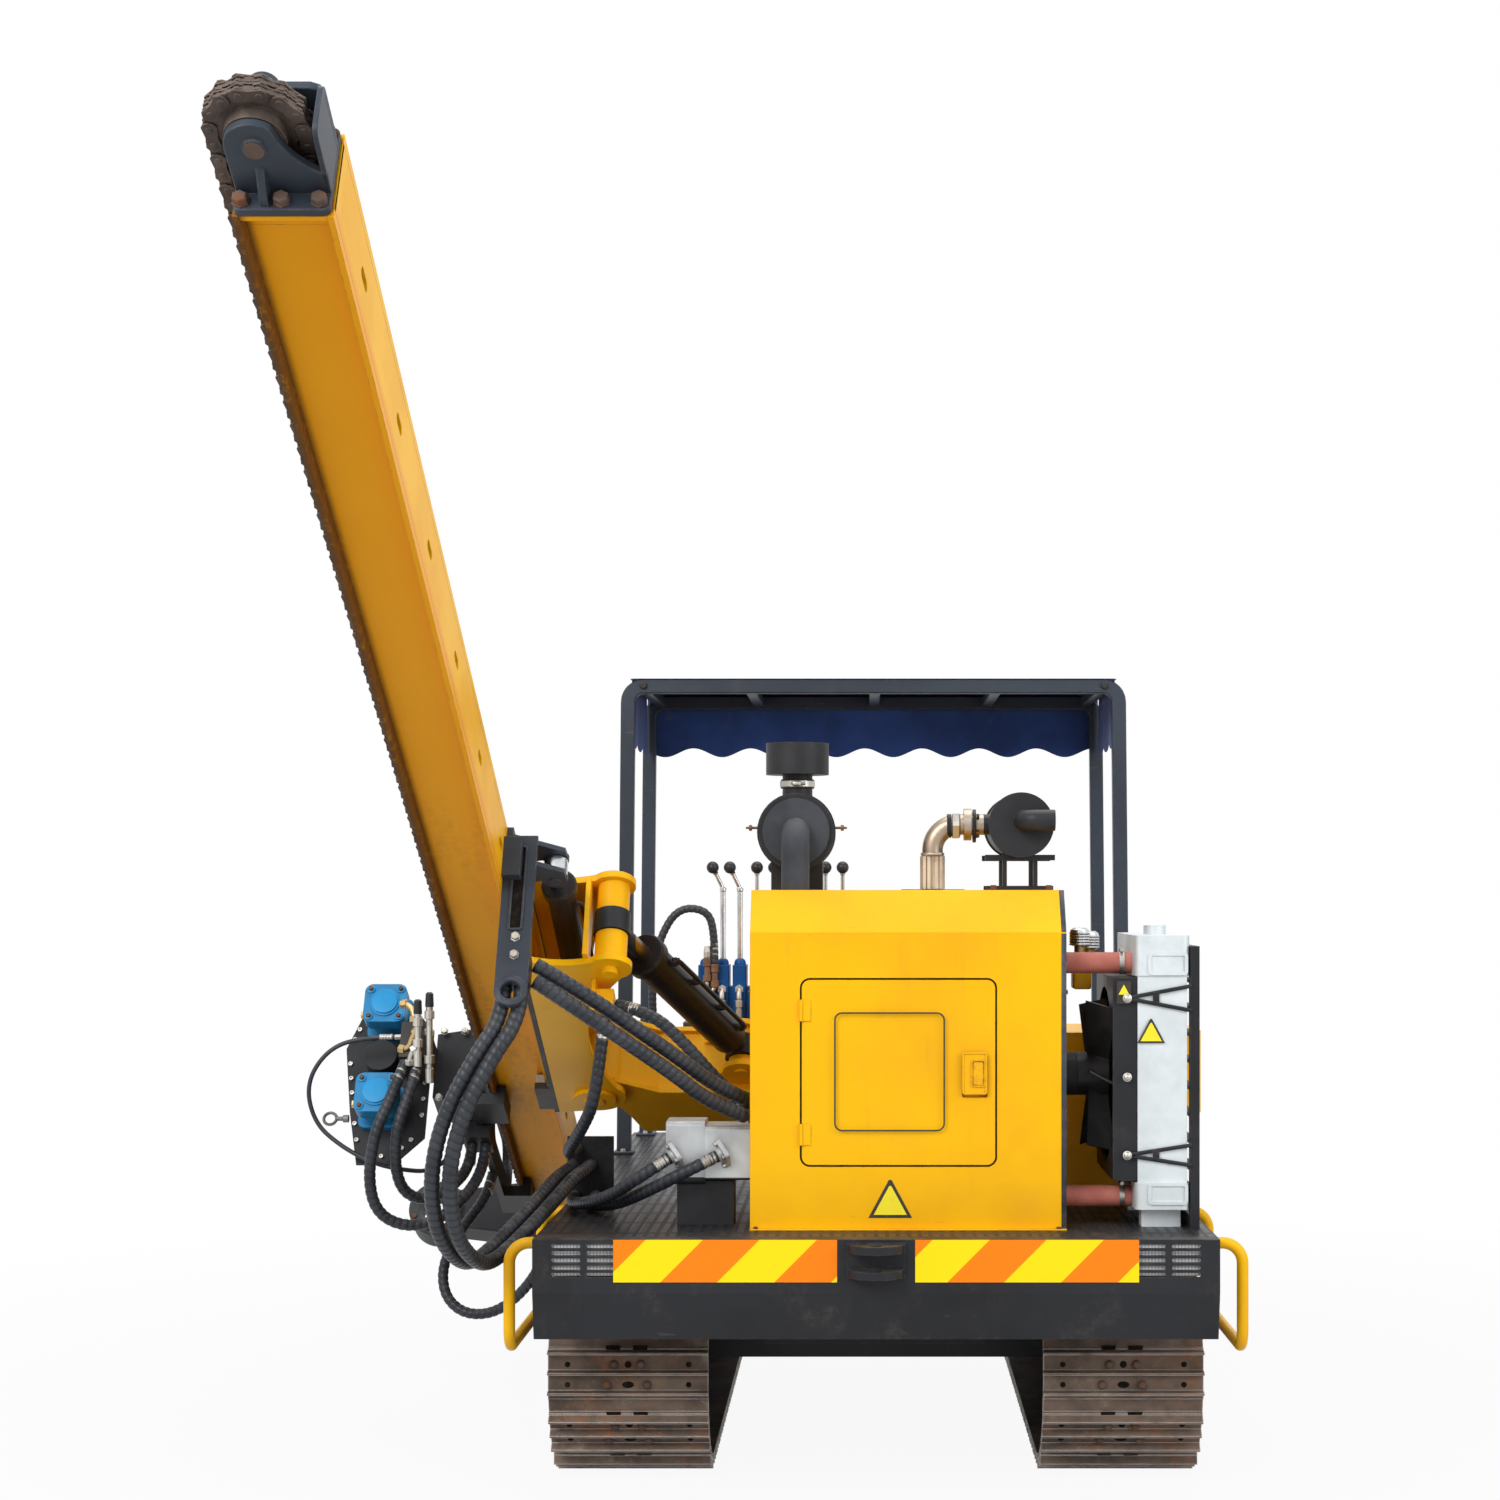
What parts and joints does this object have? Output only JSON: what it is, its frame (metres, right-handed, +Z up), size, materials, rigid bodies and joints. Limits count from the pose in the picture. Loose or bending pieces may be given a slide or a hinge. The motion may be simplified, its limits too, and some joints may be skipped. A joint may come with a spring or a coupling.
{
  "type": "crawler drilling rig",
  "caption": "Crawler-mounted hydraulic drilling rig: tilting mast with chain feed and twin-motor rotary head, engine under a cover, canopy over the controls.",
  "frame": {"origin": "on the ground, midway between the two tracks and between their ends", "axes": "+X to the machine's right, +Y to its front, +Z up; the mast leans back over -Y"},
  "size_m": [2.7868, 5.4783, 3.1857],
  "materials": {
    "track_steel": "worn, rusty",
    "black_paint": "satin",
    "lamp": "clear",
    "hazard": "reflective stripes",
    "yellow_paint": "gloss",
    "engine_iron": "satin",
    "black_plastic": "matte",
    "radiator_alloy": "brushed",
    "red_rubber": "matte",
    "slate_paint": "satin",
    "blue_cloth": "woven",
    "valve_blue": "gloss",
    "chrome": "polished",
    "pump_alloy": "cast",
    "cylinder_black": "worn gloss",
    "wear_plastic": "worn",
    "chain_steel": "oiled",
    "grey_iron": "machined",
    "motor_blue": "gloss",
    "hose_rubber": "spiral wrapped"
  },
  "bodies": {
    "root": {"track_left": "track_steel", "track_right": "track_steel", "drive_sprockets": "track_steel", "idlers": "track_steel", "track_rollers": "track_steel", "undercarriage_frame": "black_paint", "deck": "black_paint", "rear_bumper": "black_paint", "rear_lamps": "lamp", "hazard_plates": "hazard", "tow_bracket": "black_paint", "side_guards": "yellow_paint", "engine_cover": "yellow_paint", "engine_block": "engine_iron", "radiator": "radiator_alloy", "radiator_shroud": "black_paint", "coolant_hoses": "red_rubber", "air_cleaner": "black_paint", "muffler": "black_paint", "canopy_frame": "slate_paint", "canopy_cloth": "blue_cloth", "control_stand": "slate_paint", "control_valves": "valve_blue", "control_levers": "chrome", "hydraulic_pumps": "pump_alloy", "hydraulic_tank": "yellow_paint", "tilt_column": "yellow_paint", "hose_supply_first": "hose_rubber", "hose_supply_second": "hose_rubber", "hose_swing_supply": "hose_rubber", "hose_loop_first": "hose_rubber", "hose_loop_second": "hose_rubber", "hose_swing_return": "hose_rubber", "hose_pump_first": "hose_rubber", "hose_pump_second": "hose_rubber", "hose_feed_drive": "hose_rubber"},
    "door": {"engine_door": "yellow_paint"},
    "fan_wheel": {"fan": "black_plastic"},
    "boom_arm": {"boom": "yellow_paint"},
    "swing_tube": {"swing_barrel": "cylinder_black"},
    "swing_ram": {"swing_rod": "chrome"},
    "swing_frame": {"swing_head": "yellow_paint", "slide_frame": "yellow_paint", "guide_blocks": "wear_plastic", "slide_barrel": "cylinder_black"},
    "mast": {"mast_beam": "yellow_paint", "mast_head": "slate_paint", "chain_sprockets": "chain_steel", "feed_chain": "chain_steel", "mast_foot": "yellow_paint", "rod_clamp": "grey_iron", "hose_hanger": "slate_paint", "slide_rod": "chrome"},
    "power_head": {"carriage": "slate_paint", "gearbox": "black_paint", "drive_motors": "motor_blue", "hose_motor_first": "hose_rubber", "hose_motor_second": "hose_rubber", "hose_drain": "hose_rubber"},
    "spindle_shaft": {"spindle": "grey_iron"}
  },
  "joints": [
    {"name": "door_hinge", "type": "hinge", "parent": "root", "child": "door", "pos_m": [-0.2085, -1.2553, 0.91], "axis": [0, 0, -1], "range_deg": [0, 110]},
    {"name": "fan_spin", "type": "hinge", "parent": "root", "child": "fan_wheel", "pos_m": [0.64, -0.965, 1.15], "axis": [1, 0, 0], "continuous": true},
    {"name": "mast_tilt", "type": "hinge", "parent": "root", "child": "boom_arm", "pos_m": [0, -0.2, 1.09], "axis": [-1, 0, 0], "range_deg": [-29.4, 60.6], "deforming": ["hose_supply_first", "hose_supply_second", "hose_loop_first", "hose_loop_second", "hose_swing_supply", "hose_swing_return", "hose_feed_drive"]},
    {"name": "mast_swing", "type": "hinge", "parent": "boom_arm", "child": "swing_frame", "pos_m": [-0.87, -0.32197, 1.15873], "axis": [0, 0.4909, 0.8712], "range_deg": [0, 15], "deforming": ["hose_supply_first", "hose_supply_second", "hose_loop_first", "hose_loop_second", "hose_swing_supply", "hose_swing_return", "hose_feed_drive"]},
    {"name": "swing_foot", "type": "hinge", "parent": "boom_arm", "child": "swing_tube", "pos_m": [-0.414, -0.36553, 1.18327], "axis": [0, 0.4909, 0.8712], "range_deg": [0, 16]},
    {"name": "swing_stroke", "type": "slide", "parent": "swing_tube", "child": "swing_ram", "axis": [-0.3832, -0.8047, 0.4534], "range_m": [-0.125, 0]},
    {"name": "mast_slide", "type": "slide", "parent": "swing_frame", "child": "mast", "axis": [0, -0.8712, 0.4909], "range_m": [0, 0.6], "deforming": ["hose_supply_first", "hose_supply_second", "hose_loop_first", "hose_loop_second", "hose_feed_drive"]},
    {"name": "feed", "type": "slide", "parent": "mast", "child": "power_head", "axis": [0, -0.8712, 0.4909], "range_m": [-0.25, 3.2], "deforming": ["hose_feed_drive"]},
    {"name": "spindle_spin", "type": "hinge", "parent": "power_head", "child": "spindle_shaft", "pos_m": [-1.55, -0.18258, 1.08018], "axis": [0, -0.8712, 0.4909], "continuous": true}
  ],
  "couplings": [
    {"joint": "swing_foot", "follows": "mast_swing", "ratio": 0.90806},
    {"joint": "swing_stroke", "follows": "mast_swing", "m_per_rad": -0.45123}
  ]
}
